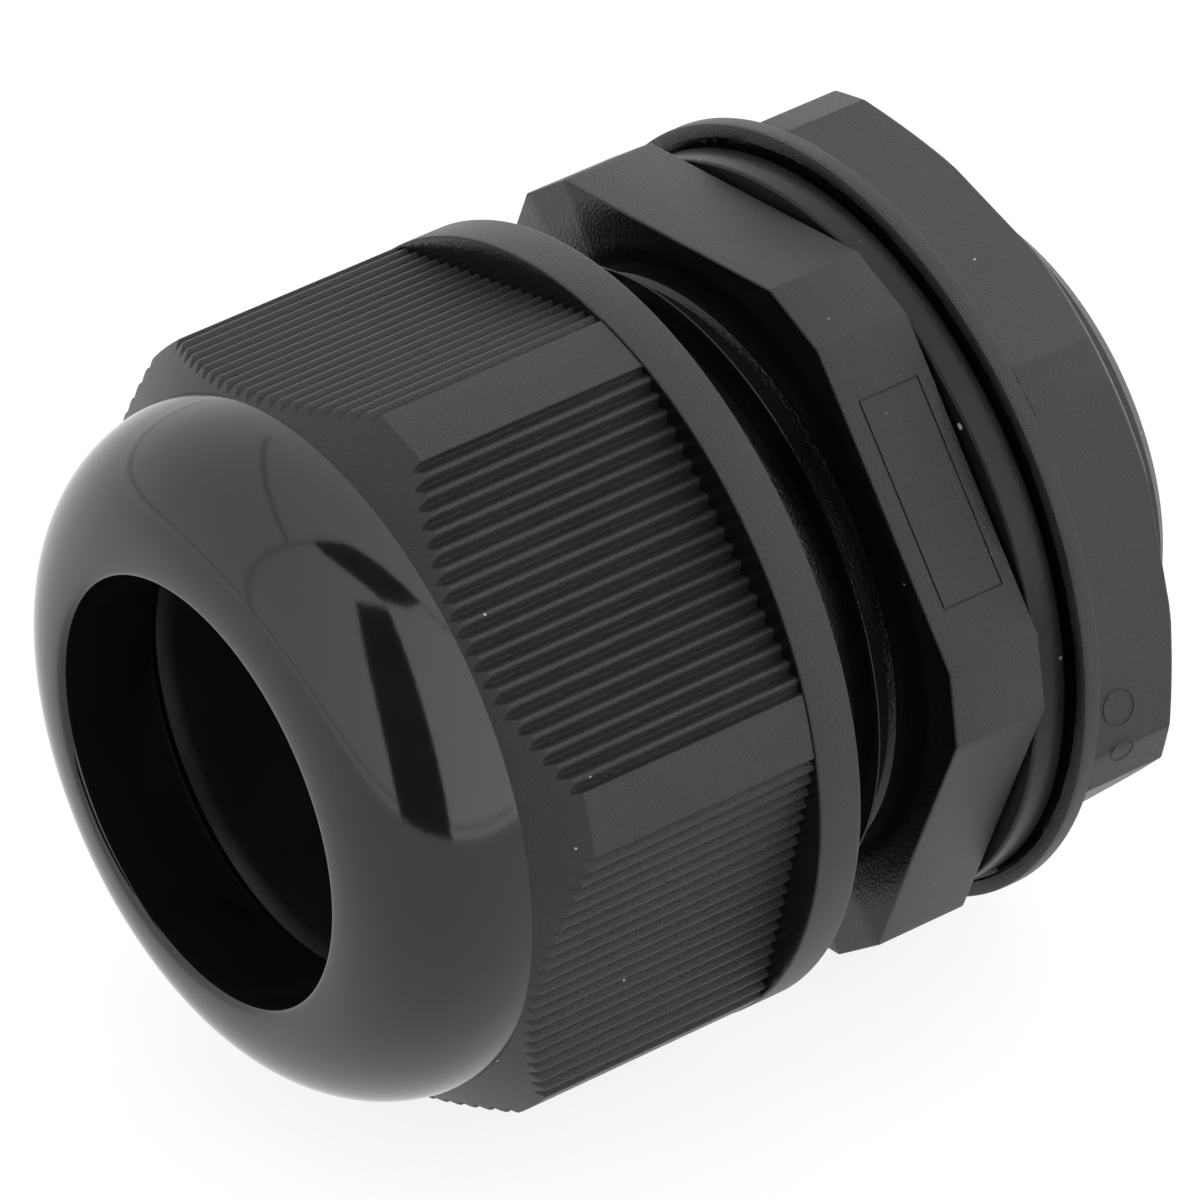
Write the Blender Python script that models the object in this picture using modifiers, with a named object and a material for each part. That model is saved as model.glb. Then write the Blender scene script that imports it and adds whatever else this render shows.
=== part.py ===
"""Plastic cable gland for a 32 mm entry thread, lying on its side.

The gland's axis runs along +Y at the height of its round flanges, with the
domed cap towards -Y. Every piece is placed in the frame of an empty whose
local +Z is that axis, so a station is a distance back from the dome's crest.
"""

import math

import bmesh
import bpy

MM = 0.001

# ---------------------------------------------------------------- driving sizes
FLANGE_RADIUS = 23.1 * MM      # round flanges of the cap and of the locknut
SPANNER_APOTHEM = 21.0 * MM    # 42 mm across the flats of the cap and the body
LOCKNUT_APOTHEM = 20.6 * MM
ENTRY_RADIUS = 16.0 * MM       # M32 x 1.5 entry thread, over its crests
CABLE_RADIUS = 12.6 * MM       # clear passage for the cable
CAP_BORE_RADIUS = 12.55 * MM
OVERALL_LENGTH = 56.0 * MM
GAP = 0.3 * MM                 # running clearance between neighbours
SEGMENTS = 64
FINGER_COUNT = 16

# ------------------------------------------------- stations back from the crest
DOME_END = 7.75 * MM
CONE_END = 10.4 * MM
CAP_FLANGE_START = 25.1 * MM
CAP_END = 27.9 * MM
CAP_SHOULDER = 6.2 * MM
CAP_CONE_END = 14.44 * MM
FINGER_TIP = 10.6 * MM
FINGER_HINGE = 17.5 * MM
INSERT_START = CAP_SHOULDER + GAP
INSERT_LIP_END = FINGER_TIP - GAP
INSERT_END = 21.0 * MM
COLLAR_START = 32.3 * MM
HEX_START = 34.5 * MM
HEX_END = 40.6 * MM
GASKET_START = HEX_END + GAP
GASKET_END = 43.0 * MM
LOCKNUT_START = GASKET_END + GAP
LOCKNUT_HEX_START = 44.4 * MM
LOCKNUT_END = 51.1 * MM

# ------------------------------------------------------------------------ radii
DOME_RADIUS = 20.4 * MM
DOME_CREST_RADIUS = 13.0 * MM
CAP_SHOULDER_RADIUS = 15.2 * MM
CAP_THREAD_RADIUS = 18.2 * MM
BODY_THREAD_RADIUS = CAP_THREAD_RADIUS - GAP
BODY_NECK_RADIUS = 17.2 * MM
COLLAR_RADIUS = 18.9 * MM
HEX_CORNER_RADIUS = 23.05 * MM
FINGER_OUTER_RADIUS = 16.9 * MM
FINGER_TIP_RADIUS = 16.45 * MM
FINGER_INNER_RADIUS = 15.4 * MM
FINGER_HINGE_RADIUS = 16.2 * MM
INSERT_RADIUS = FINGER_INNER_RADIUS - GAP
GASKET_RADIUS = 22.0 * MM
LOCKNUT_BACK_RADIUS = 20.9 * MM

# ----------------------------------------------------- turns about the axis, deg
CAP_FLAT_ANGLE = 13.1          # middle of one spanner flat, from local +X to local +Y
BODY_FLAT_ANGLE = 20.6
LOCKNUT_FLAT_ANGLE = 43.2
FINGER_WIDTH = 18.6
HALF_STEP = 180.0 / SEGMENTS   # turns a flat side of the round flanges downwards
SHARP_ANGLE = math.radians(25.0)

ASSEMBLY = bpy.data.collections.new("cable_gland")
CUTTERS = bpy.data.collections.new("cutters")


def clear_scene():
    for obj in list(bpy.data.objects):
        bpy.data.objects.remove(obj, do_unlink=True)
    for collection in (ASSEMBLY, CUTTERS):
        bpy.context.scene.collection.children.link(collection)


def plastic(name, colour, roughness):
    material = bpy.data.materials.new(name)
    material.use_nodes = True
    shader = material.node_tree.nodes["Principled BSDF"]
    shader.inputs["Base Color"].default_value = (*colour, 1.0)
    shader.inputs["Roughness"].default_value = roughness
    shader.inputs["Metallic"].default_value = 0.0
    material.diffuse_color = (*colour, 1.0)
    return material


def axis_frame():
    """An empty on the gland's axis at the crest, its local +Z along world +Y."""
    empty = bpy.data.objects.new("gland_axis", None)
    empty.location = (0.0, -OVERALL_LENGTH / 2, FLANGE_RADIUS)
    empty.rotation_euler = (-math.pi / 2, 0.0, 0.0)
    ASSEMBLY.objects.link(empty)
    return empty


def add_piece(name, mesh, frame, material):
    piece = bpy.data.objects.new(name, mesh)
    piece.parent = frame
    mesh.materials.clear()
    mesh.materials.append(material)
    ASSEMBLY.objects.link(piece)
    return piece


def bake(piece):
    """Turns the modifiers into one mesh, smooth but for its corners."""
    graph = bpy.context.evaluated_depsgraph_get()
    mesh = bpy.data.meshes.new_from_object(piece.evaluated_get(graph))
    piece.modifiers.clear()
    piece.data = mesh
    mesh.name = piece.name
    mesh.shade_smooth()
    mesh.set_sharp_from_angle(angle=SHARP_ANGLE)


def over_flats(radius):
    """The corner radius of a polygon whose sides touch a circle of this radius."""
    return radius / math.cos(math.pi / SEGMENTS)


def arc(centre, radii, start, end, steps):
    """Points of an elliptical arc in (radius, station), angles in degrees."""
    points = []
    for i in range(steps + 1):
        angle = math.radians(start + (end - start) * i / steps)
        points.append((centre[0] + radii[0] * math.cos(angle),
                       centre[1] + radii[1] * math.sin(angle)))
    return points


def turned(name, profile, frame, material):
    """A ring turned from a closed profile that runs down its outer side first."""
    mesh = bpy.data.meshes.new(name)
    count = len(profile)
    edges = [(i, (i + 1) % count) for i in range(count)]
    mesh.from_pydata([(radius, 0.0, station) for radius, station in profile], edges, [])
    piece = add_piece(name, mesh, frame, material)
    piece.rotation_euler = (0.0, 0.0, math.radians(HALF_STEP))
    screw = piece.modifiers.new("turn", "SCREW")
    screw.axis = "Z"
    screw.steps = SEGMENTS
    screw.render_steps = SEGMENTS
    screw.use_merge_vertices = True
    screw.merge_threshold = 0.00001
    return piece


def cut_flats(piece, frame, apothem, first_angle, start, end):
    """Cuts six spanner flats between two stations."""
    depth = 6.0 * MM
    width = 30.0 * MM
    for index in range(6):
        angle = math.radians(first_angle + 60.0 * index)
        reach = apothem + depth / 2
        bpy.ops.mesh.primitive_cube_add(size=1.0)
        cutter = bpy.context.object
        cutter.name = f"{piece.name}_flat_cutter_{index + 1}"
        for collection in list(cutter.users_collection):
            collection.objects.unlink(cutter)
        CUTTERS.objects.link(cutter)
        cutter.parent = frame
        cutter.scale = (depth, width, end - start)
        cutter.rotation_euler = (0.0, 0.0, angle)
        cutter.location = (reach * math.cos(angle), reach * math.sin(angle), (start + end) / 2)
        cutter.hide_render = True
        cutter.display_type = "WIRE"
        boolean = piece.modifiers.new(f"flat_{index + 1}", "BOOLEAN")
        boolean.operation = "DIFFERENCE"
        boolean.solver = "EXACT"
        boolean.object = cutter


def make_cap_nut(frame):
    """The domed cap: glossy dome, cone, six flats and a round flange at its back."""
    rim = over_flats(FLANGE_RADIUS)
    dome = arc((DOME_CREST_RADIUS, DOME_END), (DOME_RADIUS - DOME_CREST_RADIUS, DOME_END), 0, -90, 9)
    lip = DOME_CREST_RADIUS - CAP_BORE_RADIUS
    profile = [(rim, CAP_END), (rim, CONE_END)]
    profile += dome
    profile += arc((DOME_CREST_RADIUS, lip), (lip, lip), -90, -180, 2)[1:]
    profile += [
        (CAP_BORE_RADIUS, CAP_SHOULDER),
        (CAP_SHOULDER_RADIUS, CAP_SHOULDER),
        (CAP_THREAD_RADIUS, CAP_CONE_END),
        (CAP_THREAD_RADIUS, CAP_END),
    ]
    cap = turned("cap_nut", profile, frame, plastic("cap_plastic", (0.045, 0.045, 0.045), 0.35))
    cut_flats(cap, frame, SPANNER_APOTHEM, CAP_FLAT_ANGLE, -2.0 * MM, CAP_FLANGE_START)
    bake(cap)


def make_sealing_insert(frame):
    """The rubber bush, whose front collar fills the room ahead of the fingers."""
    lip_slope = (CAP_THREAD_RADIUS - CAP_SHOULDER_RADIUS) / (CAP_CONE_END - CAP_SHOULDER)
    lip_front = CAP_SHOULDER_RADIUS - GAP
    lip_back = lip_front + lip_slope * (INSERT_LIP_END - INSERT_START)
    profile = [
        (INSERT_RADIUS, INSERT_END),
        (INSERT_RADIUS, INSERT_LIP_END),
        (lip_back, INSERT_LIP_END),
        (lip_front, INSERT_START),
        (CABLE_RADIUS + 0.8 * MM, INSERT_START),
        (CABLE_RADIUS, INSERT_START + 0.8 * MM),
        (CABLE_RADIUS, INSERT_END),
    ]
    bake(turned("sealing_insert", profile, frame, plastic("seal_rubber", (0.03, 0.028, 0.03), 0.55)))


def make_gland_body(frame):
    """The body: entry thread, spanner hexagon, collar and the cap's thread."""
    rim = over_flats(HEX_CORNER_RADIUS)
    edge = 0.2 * MM
    lead_in = 1.8 * MM
    profile = [
        (ENTRY_RADIUS - lead_in, OVERALL_LENGTH),
        (ENTRY_RADIUS, OVERALL_LENGTH - lead_in),
        (ENTRY_RADIUS, HEX_END),
        (rim, HEX_END),
        (rim, HEX_START),
        (COLLAR_RADIUS, HEX_START),
        (COLLAR_RADIUS, COLLAR_START + edge),
        (COLLAR_RADIUS - edge, COLLAR_START),
        (BODY_NECK_RADIUS, COLLAR_START),
        (BODY_NECK_RADIUS, COLLAR_START - 2.0 * MM),
        (BODY_THREAD_RADIUS, COLLAR_START - 2.6 * MM),
        (BODY_THREAD_RADIUS, FINGER_HINGE + 0.8 * MM),
        (FINGER_OUTER_RADIUS, FINGER_HINGE + GAP / 2),
        (FINGER_INNER_RADIUS, FINGER_HINGE + GAP / 2),
        (FINGER_INNER_RADIUS, INSERT_END + GAP),
        (CABLE_RADIUS, INSERT_END + GAP),
        (CABLE_RADIUS, OVERALL_LENGTH),
    ]
    body = turned("gland_body", profile, frame, plastic("body_plastic", (0.05, 0.05, 0.05), 0.5))
    cut_flats(body, frame, SPANNER_APOTHEM, BODY_FLAT_ANGLE, HEX_START - 1.0 * MM, HEX_END + 1.0 * MM)
    bake(body)


def finger_mesh():
    """One clamping finger, measured from its hinge line: a face spun about the axis."""
    half = math.radians(FINGER_WIDTH / 2)
    slope = (CAP_THREAD_RADIUS - CAP_SHOULDER_RADIUS) / (CAP_CONE_END - CAP_SHOULDER)
    chamfer_end = FINGER_TIP + (FINGER_OUTER_RADIUS - FINGER_TIP_RADIUS) / slope
    back = FINGER_HINGE - GAP / 2
    outline = [
        (FINGER_OUTER_RADIUS, back),
        (FINGER_OUTER_RADIUS, chamfer_end),
        (FINGER_TIP_RADIUS, FINGER_TIP),
        (FINGER_INNER_RADIUS, FINGER_TIP),
        (FINGER_INNER_RADIUS, back),
    ]
    shape = bmesh.new()
    corners = []
    for radius, station in outline:
        corners.append(shape.verts.new((radius * math.cos(half) - FINGER_HINGE_RADIUS,
                                        -radius * math.sin(half),
                                        station - FINGER_HINGE)))
    face = shape.faces.new(corners)
    bmesh.ops.spin(
        shape,
        geom=[face, *face.verts, *face.edges],
        cent=(-FINGER_HINGE_RADIUS, 0.0, 0.0),
        axis=(0.0, 0.0, 1.0),
        angle=2 * half,
        steps=3,
        use_duplicate=False,
    )
    bmesh.ops.recalc_face_normals(shape, faces=shape.faces)
    mesh = bpy.data.meshes.new("clamping_finger")
    shape.to_mesh(mesh)
    shape.free()
    mesh.shade_smooth()
    mesh.set_sharp_from_angle(angle=SHARP_ANGLE)
    return mesh


def make_clamping_fingers(frame):
    """The ring of fingers on living hinges, each with its origin on its hinge line."""
    material = plastic("finger_plastic", (0.05, 0.05, 0.05), 0.5)
    mesh = finger_mesh()
    for index in range(FINGER_COUNT):
        angle = 2 * math.pi * index / FINGER_COUNT
        finger = add_piece(f"clamping_finger_{index + 1:02d}", mesh, frame, material)
        finger.rotation_euler = (0.0, 0.0, angle)
        finger.location = (
            FINGER_HINGE_RADIUS * math.cos(angle),
            FINGER_HINGE_RADIUS * math.sin(angle),
            FINGER_HINGE,
        )


def make_gasket(frame):
    """The flat rubber washer that seals against the panel, its rim rounded."""
    inner = ENTRY_RADIUS + GAP
    round_edge = 0.6 * MM
    middle = GASKET_RADIUS - round_edge
    profile = [(inner, GASKET_END)]
    profile += arc((middle, GASKET_END - round_edge), (round_edge, round_edge), 90, 0, 3)
    profile += arc((middle, GASKET_START + round_edge), (round_edge, round_edge), 0, -90, 3)
    profile += [(inner, GASKET_START)]
    bake(turned("panel_gasket", profile, frame, plastic("gasket_rubber", (0.03, 0.027, 0.03), 0.45)))


def make_locknut(frame):
    """The locknut: round flange with a raised rim, and a hexagon with its back corners turned down."""
    rim = over_flats(FLANGE_RADIUS)
    inner = ENTRY_RADIUS + GAP
    corner_drop = 1.35 * MM
    bead_inner = GASKET_RADIUS + 0.2 * MM
    bead_height = 0.1 * MM
    profile = [
        (LOCKNUT_BACK_RADIUS, LOCKNUT_END),
        (rim, LOCKNUT_END - corner_drop),
        (rim, LOCKNUT_START),
        (bead_inner, LOCKNUT_START),
        (bead_inner, LOCKNUT_START + bead_height),
        (inner, LOCKNUT_START + bead_height),
        (inner, LOCKNUT_END),
    ]
    nut = turned("locknut", profile, frame, plastic("locknut_plastic", (0.06, 0.06, 0.06), 0.5))
    cut_flats(nut, frame, LOCKNUT_APOTHEM, LOCKNUT_FLAT_ANGLE, LOCKNUT_HEX_START, LOCKNUT_END + 1.0 * MM)
    bake(nut)


def main():
    clear_scene()
    frame = axis_frame()
    make_cap_nut(frame)
    make_sealing_insert(frame)
    make_gland_body(frame)
    make_clamping_fingers(frame)
    make_gasket(frame)
    make_locknut(frame)


main()
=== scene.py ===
import math

import bpy
import numpy as np
from mathutils import Matrix, Vector


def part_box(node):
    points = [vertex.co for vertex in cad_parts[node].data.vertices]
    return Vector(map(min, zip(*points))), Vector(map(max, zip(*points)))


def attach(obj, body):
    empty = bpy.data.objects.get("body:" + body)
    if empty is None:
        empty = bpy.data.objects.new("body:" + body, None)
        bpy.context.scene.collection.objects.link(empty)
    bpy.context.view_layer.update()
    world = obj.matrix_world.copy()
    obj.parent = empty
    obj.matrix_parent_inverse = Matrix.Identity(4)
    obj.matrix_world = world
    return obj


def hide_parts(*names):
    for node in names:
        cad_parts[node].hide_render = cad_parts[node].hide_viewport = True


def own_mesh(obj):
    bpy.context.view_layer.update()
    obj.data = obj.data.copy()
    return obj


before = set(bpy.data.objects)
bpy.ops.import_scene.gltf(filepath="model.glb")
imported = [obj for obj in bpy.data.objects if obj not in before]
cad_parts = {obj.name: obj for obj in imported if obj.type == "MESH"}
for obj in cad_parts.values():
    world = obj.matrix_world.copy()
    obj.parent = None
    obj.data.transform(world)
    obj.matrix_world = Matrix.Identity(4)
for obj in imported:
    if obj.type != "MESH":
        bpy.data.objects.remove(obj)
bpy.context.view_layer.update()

# ------------------------------------------------------------------ the frame
# Stations are millimetres back from the dome's crest; radii are millimetres
# from the gland's axis; a roll is degrees from straight up, towards +X.
MM = 0.001
CREST_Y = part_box("cap_nut")[0].y
AXIS_Z = (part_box("locknut")[0].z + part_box("locknut")[1].z) / 2


def station_of(node, end):
    """The station of a node's front (0) or back (1)."""
    return (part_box(node)[end].y - CREST_Y) / MM


CAP_END = station_of("cap_nut", 1)
INSERT_START = station_of("sealing_insert", 0)
INSERT_END = station_of("sealing_insert", 1)
BARREL_START = station_of("gland_body", 0)
BODY_END = station_of("gland_body", 1)
GASKET_START = station_of("panel_gasket", 0)
GASKET_END = station_of("panel_gasket", 1)
NUT_START = station_of("locknut", 0)
NUT_END = station_of("locknut", 1)
FLANGE_RADIUS = (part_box("locknut")[1].z - AXIS_Z) / MM
GASKET_RADIUS = (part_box("panel_gasket")[1].z - AXIS_Z) / MM

# What the boxes don't give. A part's roll is that of the middle of one of its flats.
GAP = 0.3
PASSAGE_RADIUS = 12.6

DOME_END = 7.75
DOME_RADIUS = 20.4
CREST_RADIUS = 13.0
BORE_RADIUS = 12.55
CONE_END = 10.4
CONE_RADIUS = 23.1
CONE_SLOPE = (CONE_END - DOME_END) / (CONE_RADIUS - DOME_RADIUS)
SHOULDER = 6.2
INNER_CONE_END = 14.5
CAP_FLANGE_START = 25.1
CAP_APOTHEM = 20.93
CAP_ROLL = 43.1
RIB_PITCH = 1.0
RIB_DEPTH = 0.5
GROOVES = 20

COLLAR_START = 32.3
COLLAR_RADIUS = 18.9
HEX_START = 34.5
HEX_END = GASKET_START - GAP
BODY_APOTHEM = 21.0
BODY_CORNER_RADIUS = 23.05
BODY_ROLL = -9.4
CAP_THREAD_CORE = 17.0
CAP_THREAD_RADIUS = 17.9
CAP_THREAD_PITCH = 2.0
CAP_THREAD_END = 30.6
ENTRY_RADIUS = 16.0
ENTRY_PITCH = 1.5
ENTRY_DEPTH = 0.92

NUT_ROLL = 13.2
NUT_APOTHEM = 20.58
NUT_HEX_START = 44.4
NUT_BACK_RADIUS = 20.9
NUT_CHAMFER = 0.62
NUT_CORNER_RADIUS = FLANGE_RADIUS - 0.06

# Metres, and strengths of light.
TABLE_RADIUS = 0.5
TABLE_GLOW = 0.84
TENT_BRIGHTNESS = 1.8
BRIGHT_SIDE = (0.30, 0.10, -0.05)
DOORWAY_COLOUR = (0.035, 0.022, 0.018, 1.0)


def point(radius, roll, station):
    """A place in the row frame, in metres, from the gland's own coordinates."""
    turn = math.radians(roll)
    return Vector((radius * MM * math.sin(turn), CREST_Y + station * MM,
                   AXIS_Z + radius * MM * math.cos(turn)))


# -------------------------------------------------------------- mesh building
def grid_object(name, radii, stations, rolls, material_of_row, materials, sharp=32.0):
    """A closed ring from rows of radius and station round its section, one column a roll."""
    rows, columns = radii.shape
    turn = np.radians(rolls)
    points = np.stack([
        radii * MM * np.sin(turn),
        CREST_Y + stations * MM,
        AXIS_Z + radii * MM * np.cos(turn),
    ], axis=-1).reshape(-1, 3)
    row = np.arange(rows)[:, None]
    column = np.arange(columns)[None, :]
    next_row = (row + 1) % rows
    next_column = (column + 1) % columns
    faces = np.stack([
        row * columns + column,
        next_row * columns + column,
        next_row * columns + next_column,
        row * columns + next_column,
    ], axis=-1).reshape(-1, 4)
    tips = points[faces]
    volume = np.einsum("ij,ij->i", tips[:, 0], np.cross(tips[:, 1], tips[:, 2])).sum()
    volume += np.einsum("ij,ij->i", tips[:, 0], np.cross(tips[:, 2], tips[:, 3])).sum()
    if volume < 0:
        faces = faces[:, ::-1]
    mesh = bpy.data.meshes.new(name)
    mesh.from_pydata(points.tolist(), [], faces.tolist())
    for material in materials:
        mesh.materials.append(material)
    slots = np.repeat(np.array(material_of_row, np.int32), columns)
    mesh.polygons.foreach_set("material_index", slots)
    mesh.update()
    mesh.shade_smooth()
    mesh.set_sharp_from_angle(angle=math.radians(sharp))
    return link(bpy.data.objects.new(name, mesh))


def link(obj):
    bpy.context.scene.collection.objects.link(obj)
    return obj


class Section:
    """Rows of a ring's section, each a radius and a station, or arrays of them."""

    def __init__(self, rolls):
        self.rolls = np.asarray(rolls, float)
        self.radii = []
        self.stations = []
        self.slots = []

    def row(self, radius, station, slot=0):
        self.radii.append(np.broadcast_to(np.asarray(radius, float), self.rolls.shape))
        self.stations.append(np.broadcast_to(np.asarray(station, float), self.rolls.shape))
        self.slots.append(slot)

    def rows(self, pairs, slot=0):
        for radius, station in pairs:
            self.row(radius, station, slot)

    def arc(self, centre, radii, start, end, steps, slot=0):
        for i in range(steps + 1):
            angle = math.radians(start + (end - start) * i / steps)
            self.row(centre[0] + radii[0] * math.cos(angle),
                     centre[1] + radii[1] * math.sin(angle), slot)

    def build(self, name, materials, sharp=32.0):
        return grid_object(name, np.array(self.radii), np.array(self.stations), self.rolls,
                           self.slots, materials, sharp)


def even_rolls(count, extra=()):
    """Evenly spread rolls, with further ones where a corner has to be crisp."""
    rolls = [360.0 * i / count for i in range(count)]
    rolls = [r for r in rolls if all(abs((r - e + 180) % 360 - 180) > 0.35 for e in extra)]
    return np.array(sorted(rolls + [e % 360 for e in extra]))


def off_flat(rolls, first):
    """Degrees from the middle of the nearest of six flats."""
    return (rolls - first + 30.0) % 60.0 - 30.0


def thread_ridge(name, root, crest, pitch, start, end, inward, material):
    """A right-hand thread's ridge, tapering into its core at both ends."""
    steps_a_turn = 72
    fading_turns = 0.35
    buried, sunk_end = 0.06, 0.02
    turns = (end - start) / pitch
    count = int(turns * steps_a_turn) + 1
    along = np.linspace(0.0, turns, count)
    fade = np.clip(np.minimum(along, turns - along) / fading_turns, 0.0, 1.0)
    fade = fade * fade * (3 - 2 * fade)
    top = abs(crest - root) * fade - sunk_end * (1 - fade)
    sign = -1.0 if inward else 1.0
    half_crest = 0.09 * pitch
    half_root = 0.44 * pitch * (0.25 + 0.75 * fade)
    profile = [(-buried, -half_root), (top, -half_crest), (top, half_crest), (-buried, half_root)]
    points = []
    turn = 2 * math.pi * along
    for lift, offset in profile:
        radius = root + sign * lift
        station = start + along * pitch + offset
        points.append(np.stack([
            radius * MM * np.sin(turn),
            CREST_Y + station * MM,
            AXIS_Z + radius * MM * np.cos(turn),
        ], axis=-1))
    points = np.stack(points, axis=1).reshape(-1, 3)
    faces = []
    for i in range(count - 1):
        for j in range(4):
            k = (j + 1) % 4
            faces.append((i * 4 + j, i * 4 + k, (i + 1) * 4 + k, (i + 1) * 4 + j))
    faces.append((3, 2, 1, 0))
    last = (count - 1) * 4
    faces.append((last, last + 1, last + 2, last + 3))
    mesh = bpy.data.meshes.new(name)
    mesh.from_pydata(points.tolist(), [], faces)
    mesh.materials.append(material)
    outward(mesh)
    mesh.shade_smooth()
    mesh.set_sharp_from_angle(angle=math.radians(38.0))
    return link(bpy.data.objects.new(name, mesh))


def outward(mesh):
    """Turns a closed mesh's faces outwards."""
    mesh.update()
    volume = 0.0
    for polygon in mesh.polygons:
        corners = [mesh.vertices[i].co for i in polygon.vertices]
        for b, c in zip(corners[1:], corners[2:]):
            volume += corners[0].dot(b.cross(c))
    if volume < 0:
        mesh.flip_normals()


def join(pieces):
    """Joins separate closed shells into the first piece."""
    bpy.ops.object.select_all(action="DESELECT")
    for piece in pieces:
        piece.select_set(True)
    bpy.context.view_layer.objects.active = pieces[0]
    bpy.ops.object.join()
    return pieces[0]


# ------------------------------------------------------------------ materials
def node(tree, kind, **values):
    made = tree.nodes.new(kind)
    for key, value in values.items():
        if key in made.inputs:
            made.inputs[key].default_value = value
        else:
            setattr(made, key, value)
    return made


def colours(sockets):
    """A mix node's own colour sockets, which share their names with its number ones."""
    return [socket for socket in sockets if socket.type == "RGBA"]


def connect(tree, source, socket):
    """Links an output to a socket, or sets the socket to a plain value."""
    if isinstance(source, bpy.types.NodeSocket):
        tree.links.new(source, socket)
    else:
        socket.default_value = source


def colour_mix(tree, share, first, second):
    mix = node(tree, "ShaderNodeMix", data_type="RGBA")
    connect(tree, share, mix.inputs["Factor"])
    for source, socket in zip((first, second), colours(mix.inputs)):
        connect(tree, source, socket)
    return colours(mix.outputs)[0]


def remap(tree, value, **ends):
    """A map range, with its ends given as from_min, from_max, to_min and to_max."""
    ramp = node(tree, "ShaderNodeMapRange")
    for name, end in ends.items():
        ramp.inputs[name.replace("_", " ").title()].default_value = end
    tree.links.new(value, ramp.inputs["Value"])
    return ramp.outputs["Result"]


def pattern(tree, kind, size, **values):
    """A texture in the piece's own coordinates, whose features are about this many millimetres."""
    texture = node(tree, kind, Scale=1 / (size * MM), **values)
    place = node(tree, "ShaderNodeTexCoord")
    tree.links.new(place.outputs["Object"], texture.inputs["Vector"])
    return texture


def raised(tree, height, strength, distance):
    bump = node(tree, "ShaderNodeBump", Strength=strength, Distance=distance)
    tree.links.new(height, bump.inputs["Height"])
    return bump


def moulded(name, colour, roughness, grain, grain_size, specular=0.5, dust=0.0, waviness=0.0):
    """Moulded plastic or rubber: a mottled colour, uneven gloss, fine grain, specks of dust.

    Grain and waviness are the strengths of two bumps, grain_size is in millimetres, and dust is
    the radius of a speck as a share of the space it has.
    """
    mottle_size, dust_space, swell_size = 6.0, 3.2, 9.0
    colour_spread, gloss_spread = 0.25, 0.12
    dust_colour = (0.32, 0.32, 0.31, 1)
    material = bpy.data.materials.new(name)
    material.use_nodes = True
    tree = material.node_tree
    shader = tree.nodes["Principled BSDF"]
    shader.inputs["Specular IOR Level"].default_value = specular
    shader.inputs["Metallic"].default_value = 0.0

    cloud = pattern(tree, "ShaderNodeTexNoise", mottle_size, Detail=5.0, Roughness=0.6).outputs["Fac"]
    low = [c * (1 - colour_spread) for c in colour]
    high = [c * (1 + colour_spread) for c in colour]
    tone = remap(tree, cloud, from_min=0.3, from_max=0.7)
    skin = colour_mix(tree, tone, (*low, 1), (*high, 1))
    if dust:
        specks = pattern(tree, "ShaderNodeTexVoronoi", dust_space, Randomness=1.0)
        near = remap(tree, specks.outputs["Distance"], from_min=dust, from_max=dust * 0.6)
        skin = colour_mix(tree, near, skin, dust_colour)
    tree.links.new(skin, shader.inputs["Base Color"])

    gloss = remap(tree, cloud, to_min=roughness * (1 - gloss_spread), to_max=roughness * (1 + gloss_spread))
    tree.links.new(gloss, shader.inputs["Roughness"])

    fine = pattern(tree, "ShaderNodeTexNoise", grain_size, Detail=3.0, Roughness=0.55)
    surface = raised(tree, fine.outputs["Fac"], grain, 0.0001)
    if waviness:
        swell = pattern(tree, "ShaderNodeTexNoise", swell_size, Detail=1.0)
        wave = raised(tree, swell.outputs["Fac"], waviness, 0.0002)
        tree.links.new(wave.outputs["Normal"], surface.inputs["Normal"])
    tree.links.new(surface.outputs["Normal"], shader.inputs["Normal"])
    return material


NYLON = (0.0090, 0.0089, 0.0087)
POLISHED = moulded("polished_nylon", (0.0050, 0.0048, 0.0048), 0.095, 0.03, 0.5, waviness=0.03)
SATIN = moulded("satin_nylon", NYLON, 0.40, 1.0, 0.11, specular=0.42, dust=0.03)
BODY_SATIN = moulded("body_nylon", NYLON, 0.40, 1.0, 0.11, specular=0.42, dust=0.03)
# A darker, glossier copy of the nylon, painted shade: it goes on recessed and front-facing faces that lie in
# shadow.
SHADE_PAINTED_SATIN = moulded("shade_painted_nylon", (0.0030, 0.0028, 0.0027), 0.14, 0.25, 0.2, specular=0.32, dust=0.03)
NUT_SATIN = moulded("nut_nylon", (0.0100, 0.0100, 0.0097), 0.40, 1.0, 0.11, specular=0.42, dust=0.03)
BUSH_RUBBER = moulded("bush_rubber", (0.0055, 0.0048, 0.0046), 0.45, 0.2, 0.3, specular=0.4)
GASKET_RUBBER = moulded("gasket_rubber", (0.0070, 0.0062, 0.0066), 0.32, 0.25, 0.4, specular=0.22,
                        dust=0.075, waviness=0.25)


# --------------------------------------------------------------------- pieces
def cap_columns():
    """Rolls and radii of the cap's spanner part: six ribbed flats between round strips."""
    half_width = GROOVES * RIB_PITCH / 2
    samples_a_rib, steps_a_strip = 10, 9
    strip_radius = FLANGE_RADIUS - 0.05
    rolls, radii = [], []
    for side in range(6):
        middle = CAP_ROLL + 60.0 * side
        across = np.linspace(-half_width, half_width, GROOVES * samples_a_rib + 1)
        wave = 0.5 - 0.5 * np.cos(2 * math.pi * (across / RIB_PITCH))
        depth = RIB_DEPTH * wave ** 1.3
        height = CAP_APOTHEM - depth
        rolls.extend(middle + np.degrees(np.arctan2(across, height)))
        radii.extend(np.minimum(np.hypot(across, height), strip_radius))
        edge = math.degrees(math.atan2(half_width, CAP_APOTHEM))
        for step in range(1, steps_a_strip):
            rolls.append(middle + edge + (60.0 - 2 * edge) * step / steps_a_strip)
            radii.append(strip_radius)
    return np.array(rolls), np.array(radii)


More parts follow.
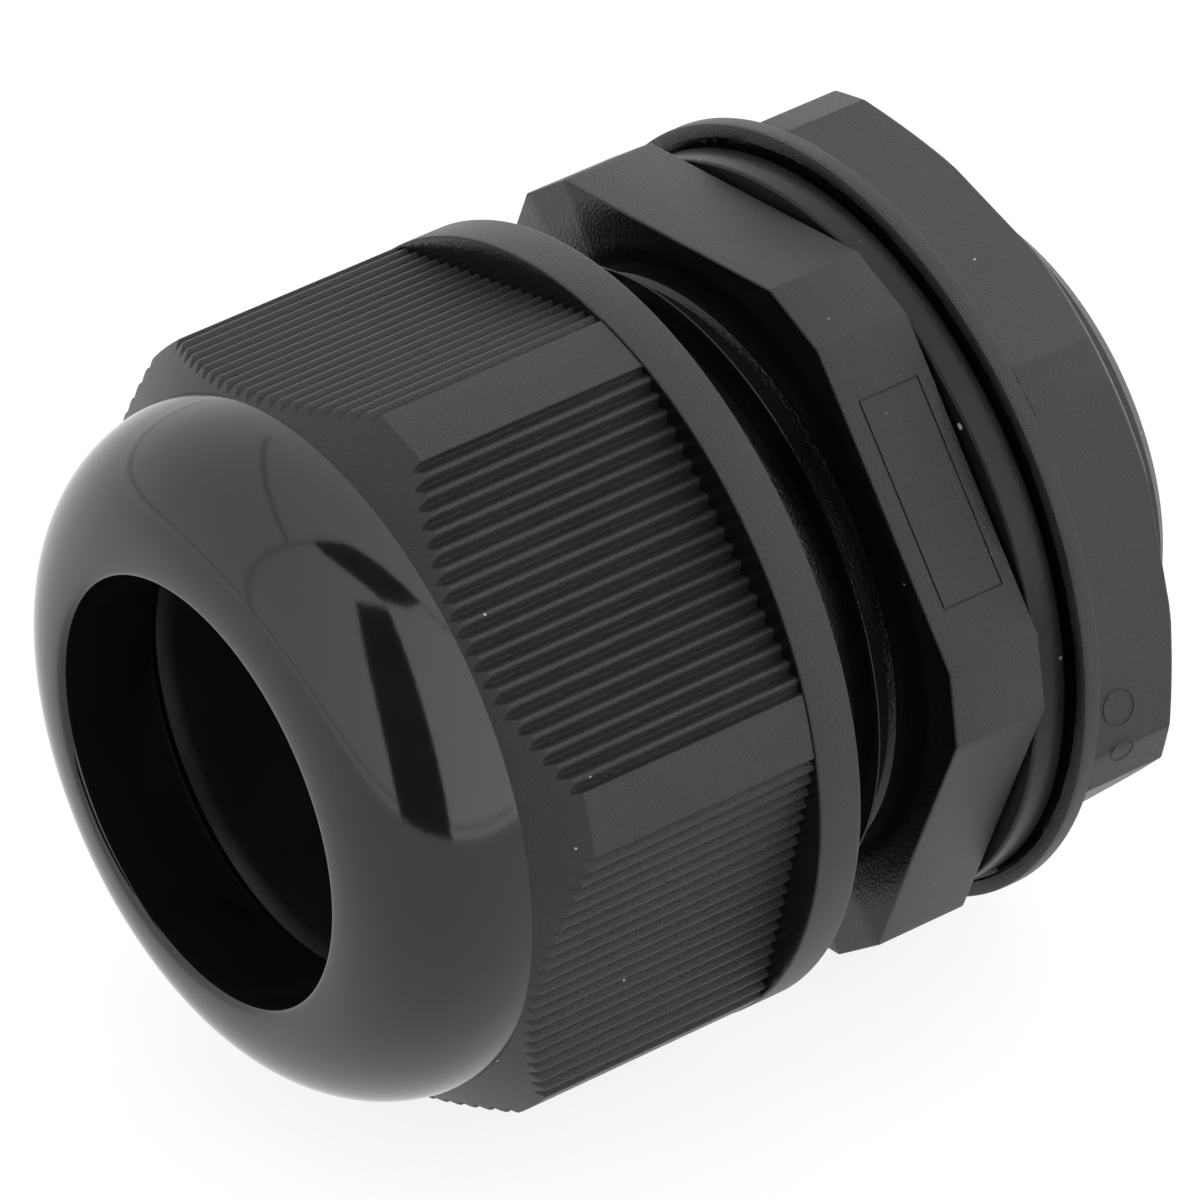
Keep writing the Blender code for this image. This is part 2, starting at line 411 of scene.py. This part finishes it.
def make_cap_nut():
    """The domed cap. Its grid has a column for each step across the ribs, so their ends are crisp.

    The rows run from the bore, over the dome, the ribs and the flange, and back inside.
    """
    rolls, radii = cap_columns()
    section = Section(rolls)
    # Rows in the darker nylon are painted shade: the recess where the ribs meet the flange, and the cap's
    # inside.
    glossy, matte, painted_shade = 0, 1, 2
    section.row(BORE_RADIUS, 5.8, glossy)
    section.row(BORE_RADIUS, 0.9, glossy)
    section.arc((CREST_RADIUS, 0.45), (CREST_RADIUS - BORE_RADIUS, 0.45), 180, 270, 6, glossy)
    dome_steps = 30
    for i in range(1, dome_steps + 1):
        angle = math.radians(-90 + 90 * i / dome_steps)
        section.row(CREST_RADIUS + (DOME_RADIUS - CREST_RADIUS) * math.cos(angle),
                    DOME_END + DOME_END * math.sin(angle), glossy if i < dome_steps else matte)
    crossing = DOME_END + (radii - DOME_RADIUS) * CONE_SLOPE
    for share in (0.02, 0.35, 0.7, 0.96):
        section.row(DOME_RADIUS + (radii - DOME_RADIUS) * share,
                    DOME_END + (crossing - DOME_END) * share, matte)
    section.row(radii - 0.01, crossing + 0.02, matte)
    section.row(radii, crossing + 0.12, matte)
    section.row(radii, CAP_FLANGE_START - 0.12, matte)
    section.row(np.minimum(radii, FLANGE_RADIUS - 0.14), CAP_FLANGE_START, painted_shade)
    section.row(FLANGE_RADIUS - 0.13, CAP_FLANGE_START + 0.002, matte)
    section.rows([
        (FLANGE_RADIUS - 0.03, CAP_FLANGE_START + 0.04),
        (FLANGE_RADIUS, CAP_FLANGE_START + 0.12),
        (FLANGE_RADIUS, CAP_END - 0.22),
        (FLANGE_RADIUS - 0.06, CAP_END - 0.06),
    ], matte)
    section.rows([
        (FLANGE_RADIUS - 0.22, CAP_END),
        (18.8, CAP_END),
        (18.25, CAP_END - 0.5),
        (18.25, INNER_CONE_END),
        (15.25, SHOULDER),
        (13.4, SHOULDER),
    ], painted_shade)
    section.row(BORE_RADIUS + 0.1, 6.15, glossy)
    cap = section.build("cap_nut_shell", [POLISHED, SATIN, SHADE_PAINTED_SATIN], sharp=30.0)
    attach(cap, "cap_nut")
    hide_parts("cap_nut")


def make_sealing_insert():
    """The rubber bush, with a soft lip at its mouth."""
    section = Section(even_rolls(160))
    section.rows([(15.05, INSERT_END), (15.1, INSERT_END - 0.1), (15.1, 10.4), (15.3, 10.3), (16.2, 10.2),
                  (16.3, 10.0), (15.0, INSERT_START + 0.15), (14.8, INSERT_START)])
    section.rows([(13.6, INSERT_START), (13.0, INSERT_START + 0.15), (12.7, INSERT_START + 0.7)])
    section.row(PASSAGE_RADIUS + 0.02, INSERT_START + 1.2)
    section.rows([(12.7, INSERT_END - 0.3), (13.0, INSERT_END)])
    bush = section.build("rubber_bush", [BUSH_RUBBER], sharp=40.0)
    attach(bush, "gland_body")
    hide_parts("sealing_insert")
    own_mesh(bush)


def half_flat(apothem, corner_radius):
    """Degrees from the middle of a hexagon's flat to its end."""
    return math.degrees(math.acos(apothem / corner_radius))


def hexagon(rolls, first, apothem, corner_radius):
    """Radius of a hexagon whose corners are cut by narrow flat facets."""
    flat = half_flat(apothem, corner_radius)
    turn = np.abs(off_flat(rolls, first))
    on_flat = apothem / np.cos(np.radians(turn))
    facet = corner_radius * math.cos(math.radians(30.0 - flat))
    on_facet = facet / np.cos(np.radians(30.0 - turn))
    return np.where(turn <= flat, on_flat, on_facet)


def hexagon_corners(first, apothem, corner_radius):
    flat = half_flat(apothem, corner_radius)
    return [first + 60.0 * i + side * flat for i in range(6) for side in (-1, 1)]


def make_gland_body():
    """The body: counterbore, cap thread, collar, hexagon and the M32 entry thread.

    The rows run from the insert's seat, out through the passage, and forward over the outside.
    """
    rolls = even_rolls(200, hexagon_corners(BODY_ROLL, BODY_APOTHEM, BODY_CORNER_RADIUS))
    hex_radius = hexagon(rolls, BODY_ROLL, BODY_APOTHEM, BODY_CORNER_RADIUS)
    entry_core = ENTRY_RADIUS - ENTRY_DEPTH
    entry_end = ENTRY_RADIUS - 1.8
    neck = 17.3
    counterbore = 15.4
    seat = INSERT_END + GAP
    # Rows in the darker nylon are painted shade: the hexagon's front face, the neck and collar, the cap
    # thread's core and the counterbore.
    satin, painted_shade = 0, 1
    section = Section(rolls)
    section.rows([
        (PASSAGE_RADIUS, seat), (PASSAGE_RADIUS, BODY_END - 0.6), (PASSAGE_RADIUS + 0.15, BODY_END - 0.15),
        (PASSAGE_RADIUS + 0.5, BODY_END), (entry_end - 0.1, BODY_END), (entry_end, BODY_END - 0.08),
        (entry_core, BODY_END - 0.95), (entry_core, HEX_END + 0.3), (entry_core + 0.3, HEX_END),
    ])
    bevel = 0.14
    section.row(hex_radius - bevel, HEX_END, satin)
    section.row(hex_radius - 0.3 * bevel, HEX_END - 0.3 * bevel, satin)
    section.row(hex_radius, HEX_END - bevel, satin)
    section.row(hex_radius, HEX_START + bevel, satin)
    section.row(hex_radius - 0.3 * bevel, HEX_START + 0.3 * bevel, satin)
    section.row(hex_radius - bevel, HEX_START, painted_shade)
    section.rows([
        (neck + 0.3, HEX_START), (neck, HEX_START - 0.3), (neck, COLLAR_START + 0.6),
        (neck + 0.2, COLLAR_START + 0.4), (COLLAR_RADIUS - 0.2, COLLAR_START + 0.22),
        (COLLAR_RADIUS - 0.04, COLLAR_START + 0.17), (COLLAR_RADIUS, COLLAR_START + 0.1),
        (COLLAR_RADIUS - 0.04, COLLAR_START + 0.03), (COLLAR_RADIUS - 0.12, COLLAR_START),
        (neck, COLLAR_START),
        (CAP_THREAD_CORE, COLLAR_START - 0.2), (CAP_THREAD_CORE, COLLAR_START - 0.5),
        (CAP_THREAD_CORE, BARREL_START + 0.3), (CAP_THREAD_CORE - 0.2, BARREL_START),
        (counterbore + 0.2, BARREL_START), (counterbore, BARREL_START + 0.2),
        (counterbore, seat - 0.2), (counterbore - 0.2, seat),
    ], painted_shade)
    body = section.build("gland_body_shell", [BODY_SATIN, SHADE_PAINTED_SATIN], sharp=28.0)
    engrave_panel(body)
    entry = thread_ridge("entry_thread", entry_core, ENTRY_RADIUS, ENTRY_PITCH, HEX_END + 1.2, BODY_END - 1.3,
                         False, BODY_SATIN)
    upper = thread_ridge("cap_thread", CAP_THREAD_CORE, CAP_THREAD_RADIUS, CAP_THREAD_PITCH,
                         BARREL_START + 1.4, CAP_THREAD_END, False, BODY_SATIN)
    body = join([body, entry, upper])
    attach(body, "gland_body")
    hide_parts("gland_body")


def engrave_panel(body):
    """A fine rectangular groove, the outline of a mould insert, on one flat of the hexagon."""
    roll = BODY_ROLL + 60.0
    length, width, line, depth, setback = 12.3, 4.1, 0.13, 0.09, 0.13
    centre = point(BODY_APOTHEM, roll, (HEX_START + HEX_END) / 2 + setback)
    turn = Matrix.Rotation(math.radians(roll), 4, "Y")
    outer = [(length / 2 * x, width / 2 * y) for x, y in ((-1, -1), (1, -1), (1, 1), (-1, 1))]
    inner = [(x - math.copysign(line, x), y - math.copysign(line, y)) for x, y in outer]
    loops = [(outer, -depth), (outer, depth), (inner, depth), (inner, -depth)]
    points = [(x * MM, y * MM, z * MM) for corners, z in loops for x, y in corners]
    faces = []
    for k in range(4):
        n = (k + 1) % 4
        for i in range(4):
            j = (i + 1) % 4
            faces.append((k * 4 + i, k * 4 + j, n * 4 + j, n * 4 + i))
    mesh = bpy.data.meshes.new("panel_cutter")
    mesh.from_pydata(points, [], faces)
    outward(mesh)
    cutter = link(bpy.data.objects.new("panel_cutter", mesh))
    cutter.matrix_world = Matrix.Translation(centre) @ turn
    cut = body.modifiers.new("panel", "BOOLEAN")
    cut.operation = "DIFFERENCE"
    cut.object = cutter
    bpy.context.view_layer.objects.active = body
    bpy.ops.object.modifier_apply(modifier=cut.name)
    bpy.data.objects.remove(cutter)


def make_gasket():
    """The flat rubber washer, its edges eased and its rim not quite true."""
    rolls = even_rolls(240)
    wobble = 0.05 * np.sin(np.radians(3 * rolls + 20)) + 0.03 * np.sin(np.radians(7 * rolls))
    inner = ENTRY_RADIUS + GAP
    rounding = 0.22
    section = Section(rolls)
    section.rows([(inner, GASKET_START + 0.1), (inner, GASKET_END - 0.1), (inner + 0.1, GASKET_END)])
    for end, first in ((GASKET_END - rounding, 90), (GASKET_START + rounding, 0)):
        section.arc((GASKET_RADIUS - 0.3 + wobble, end), (rounding, rounding), first, first - 90, 4)
    section.row(inner + 0.1, GASKET_START)
    gasket = section.build("rubber_gasket", [GASKET_RUBBER], sharp=40.0)
    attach(gasket, "panel_gasket")
    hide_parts("panel_gasket")


def make_locknut():
    """The locknut: a flange with a ragged moulded edge, six flats, turned corners, inner thread."""
    rolls = even_rolls(360, hexagon_corners(NUT_ROLL, NUT_APOTHEM, NUT_CORNER_RADIUS))
    hex_radius = hexagon(rolls, NUT_ROLL, NUT_APOTHEM, NUT_CORNER_RADIUS)
    core = ENTRY_RADIUS + ENTRY_DEPTH
    rim = 22.28
    chance = np.random.RandomState(11)
    ragged = 0.5 * chance.uniform(-1, 1, len(rolls)) + 0.5 * np.sin(np.radians(9 * rolls + 40))
    # Rows in the darker nylon are painted shade: the flange's recessed front face inside its rim.
    satin, painted_shade = 0, 1
    section = Section(rolls)
    section.rows([
        (core, NUT_START + 0.4), (core + 0.4, NUT_START + 0.1), (rim - 0.13, NUT_START + 0.1),
    ], painted_shade)
    section.row(rim + 0.05 * ragged, NUT_START + 0.02 + 0.02 * ragged, satin)
    section.rows([
        (FLANGE_RADIUS - 0.2, NUT_START), (FLANGE_RADIUS - 0.05, NUT_START + 0.05),
        (FLANGE_RADIUS, NUT_START + 0.2), (FLANGE_RADIUS, NUT_HEX_START - 0.12),
        (FLANGE_RADIUS - 0.04, NUT_HEX_START - 0.03),
    ], satin)
    section.row(FLANGE_RADIUS - 0.12, NUT_HEX_START, satin)
    section.row(np.minimum(hex_radius + 0.15, FLANGE_RADIUS - 0.13), NUT_HEX_START + 0.003, satin)
    section.row(np.minimum(hex_radius + 0.04, FLANGE_RADIUS - 0.1), NUT_HEX_START + 0.05, satin)
    section.row(hex_radius, NUT_HEX_START + 0.16, satin)
    shoulder = NUT_END - np.maximum(hex_radius - NUT_BACK_RADIUS, 0.0) * NUT_CHAMFER
    section.row(hex_radius, shoulder - 0.16, satin)
    section.row(hex_radius - 0.05, shoulder - 0.04, satin)
    section.row(hex_radius - 0.16, np.minimum(shoulder + 0.07, NUT_END), satin)
    section.row(np.minimum(hex_radius - 0.2, NUT_BACK_RADIUS), NUT_END, satin)
    section.rows([(core + 0.35, NUT_END), (core, NUT_END - 0.35)], satin)
    nut = section.build("locknut_shell", [NUT_SATIN, SHADE_PAINTED_SATIN], sharp=28.0)
    ridge = thread_ridge("nut_thread", core, ENTRY_RADIUS + 0.12, ENTRY_PITCH,
                         NUT_START + 1.65, NUT_END - 0.7, True, NUT_SATIN)
    marks = [gate_mark(NUT_ROLL + 60.0 + roll, station, size)
             for roll, station, size in ((21.3, 46.57, 1.05), (27.4, 46.4, 0.8))]
    nut = join([nut, ridge, *marks])
    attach(nut, "locknut")
    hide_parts("locknut")


def gate_mark(roll, station, size):
    """A faint round mark left by the mould, as a fine raised ring of this radius."""
    radius = hexagon(roll, NUT_ROLL, NUT_APOTHEM, NUT_CORNER_RADIUS)
    bpy.ops.mesh.primitive_torus_add(major_radius=size * MM, minor_radius=0.035 * MM,
                                     major_segments=40, minor_segments=6)
    mark = bpy.context.object
    mark.name = f"gate_mark_{int(roll)}"
    mark.data.materials.append(NUT_SATIN)
    mark.data.shade_smooth()
    off = off_flat(roll, NUT_ROLL)
    facing = roll - off
    if abs(off) > half_flat(NUT_APOTHEM, NUT_CORNER_RADIUS):
        facing += math.copysign(30.0, off)
    lean = Matrix.Rotation(math.radians(facing), 4, "Y")
    mark.matrix_world = Matrix.Translation(point(float(radius), roll, station)) @ lean
    return mark


def dress_fingers():
    """The clamping fingers keep their CAD solids, in the body's moulded nylon."""
    for name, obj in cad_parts.items():
        if name.startswith("clamping_finger"):
            for slot in obj.material_slots:
                slot.material = BODY_SATIN


# ------------------------------------------------------------- floor and light
def make_floor():
    """A round pale table top, softly lit from below like the tent's own cloth."""
    bpy.ops.mesh.primitive_circle_add(radius=TABLE_RADIUS, vertices=128, fill_type="NGON",
                                      location=(0, 0, -0.00005))
    floor = bpy.context.object
    floor.name = "floor"
    material = bpy.data.materials.new("pale_table")
    material.use_nodes = True
    shader = material.node_tree.nodes["Principled BSDF"]
    shader.inputs["Base Color"].default_value = (0.18, 0.18, 0.18, 1)
    shader.inputs["Roughness"].default_value = 0.9
    shader.inputs["Specular IOR Level"].default_value = 0.1
    shader.inputs["Emission Color"].default_value = (1.0, 1.0, 1.0, 1)
    shader.inputs["Emission Strength"].default_value = TABLE_GLOW
    floor.data.materials.append(material)


def make_world():
    """A white light tent, with the dark doorway that the camera looks in through.

    The doorway is a slot up to the tent's roof and, above it, the gap between two roof panels.
    Each is the set of directions on the inner side of a few planes through the middle of the tent.
    """
    world = bpy.data.worlds.new("light_tent")
    bpy.context.scene.world = world
    world.use_nodes = True
    tree = world.node_tree
    background = tree.nodes["Background"]
    place = node(tree, "ShaderNodeTexCoord")

    def combine(kind, *values):
        made = node(tree, "ShaderNodeMath", operation=kind)
        for value, socket in zip(values, made.inputs):
            connect(tree, value, socket)
        return made.outputs[0]

    def beyond(normal, least=0.0, soft=0.006):
        """1 for directions on the plane's own side, fading to 0 across its edge."""
        dot = node(tree, "ShaderNodeVectorMath", operation="DOT_PRODUCT")
        tree.links.new(place.outputs["Generated"], dot.inputs[0])
        dot.inputs[1].default_value = normal
        ramp = node(tree, "ShaderNodeMapRange", interpolation_type="SMOOTHSTEP")
        ramp.inputs["From Min"].default_value = least - soft
        ramp.inputs["From Max"].default_value = least + soft
        tree.links.new(dot.outputs["Value"], ramp.inputs["Value"])
        return ramp.outputs["Result"]

    def within(*sides):
        """1 where every side is 1."""
        total = sides[0]
        for side in sides[1:]:
            total = combine("MULTIPLY", total, side)
        return total

    def seam(normal, *sides):
        """A thin dark line along a plane."""
        half_width, soft, darkness = 0.007, 0.012, 0.7
        opposite = [-n for n in normal]
        line = within(beyond(normal, -half_width, soft), beyond(opposite, -half_width, soft), *sides)
        return combine("MULTIPLY", line, darkness)

    slot = within(
        beyond((0.854, 0.519, 0.049)),
        beyond((-0.319, -0.790, 0.051), 0.03),
        beyond((0.362, -0.159, -0.148), 0.004, 0.01),
        beyond((0.0, 0.0, 1.0), -0.085),
    )
    roof_gap = within(
        beyond((0.88, -0.45, 0.02)),
        beyond((0.64, -0.77, 0.0)),
        beyond((0.0, 1.0, 0.365)),
        beyond((-0.15, 0.26, 0.082)),
        beyond((-1.0, 0.0, 0.42)),
        beyond((-0.362, 0.159, 0.148), 0.012, 0.01),
        beyond((0.0, 0.0, 1.0), 0.3),
    )
    front_seam = seam((0.88, -0.47, 0.0), beyond((0.0, -1.0, 0.0)), beyond((0.0, 0.0, 1.0), -0.05))
    back_seam = seam((0.64, -0.77, 0.0), beyond((0.64, 0.77, 0.0)), beyond((0.0, 0.0, 1.0), 0.6))
    table_edge = seam((0.0, 0.0, 1.0), beyond((0.0, -1.0, 0.0), -0.4))
    roof_seam = seam((0.42, 0.33, 0.38), beyond((-1.0, 0.0, 0.0), 0.3), beyond((0.0, 0.0, 1.0), 0.6))
    dark = slot
    for shape in (roof_gap, front_seam, back_seam, table_edge, roof_seam):
        dark = combine("MAXIMUM", dark, shape)
    colour = colour_mix(tree, dark, (1.0, 1.0, 1.0, 1.0), DOORWAY_COLOUR)
    tree.links.new(colour, background.inputs["Color"])
    lean = node(tree, "ShaderNodeVectorMath", operation="DOT_PRODUCT")
    tree.links.new(place.outputs["Generated"], lean.inputs[0])
    lean.inputs[1].default_value = BRIGHT_SIDE
    brightness = combine("MULTIPLY", combine("ADD", lean.outputs["Value"], 1.0), TENT_BRIGHTNESS)
    tree.links.new(brightness, background.inputs["Strength"])


def make_lights():
    """One large soft box above, kept out of the glossy dome's reflections."""
    target = point(0, 0, 25)
    place = Vector((-0.55, 0.45, 0.75))
    data = bpy.data.lights.new("soft_box_above", "AREA")
    data.shape = "RECTANGLE"
    data.size, data.size_y = 0.5, 0.5
    data.energy = 1.5
    light = link(bpy.data.objects.new("soft_box_above", data))
    light.location = place
    light.visible_glossy = False
    light.rotation_euler = (target - place).to_track_quat("-Z", "Y").to_euler()


def make_camera():
    """The photograph's three-quarter view, from the dome's side and above, with a long lens."""
    azimuth, elevation = math.radians(53.28), math.radians(36.53)
    back = Vector((math.sin(azimuth) * math.cos(elevation),
                   -math.cos(azimuth) * math.cos(elevation),
                   math.sin(elevation)))
    across = Vector((math.cos(azimuth), math.sin(azimuth), 0))
    upright = back.cross(across)
    mouth = point(0, 0, 0.4)
    distance, shift_across, shift_up = 0.6598, 0.02170, 0.01043
    data = bpy.data.cameras.new("camera")
    data.sensor_width = 36.0
    data.lens = 365.55
    data.clip_start = 0.05
    data.clip_end = 20.0
    camera = link(bpy.data.objects.new("camera", data))
    place = mouth + back * distance + across * shift_across + upright * shift_up
    camera.matrix_world = Matrix((
        (across.x, upright.x, back.x, place.x),
        (across.y, upright.y, back.y, place.y),
        (across.z, upright.z, back.z, place.z),
        (0, 0, 0, 1),
    ))
    bpy.context.scene.camera = camera


make_cap_nut()
make_sealing_insert()
make_gland_body()
dress_fingers()
make_gasket()
make_locknut()
make_floor()
make_world()
make_lights()
make_camera()
bpy.context.scene.view_settings.view_transform = "Standard"

bpy.context.view_layer.update()
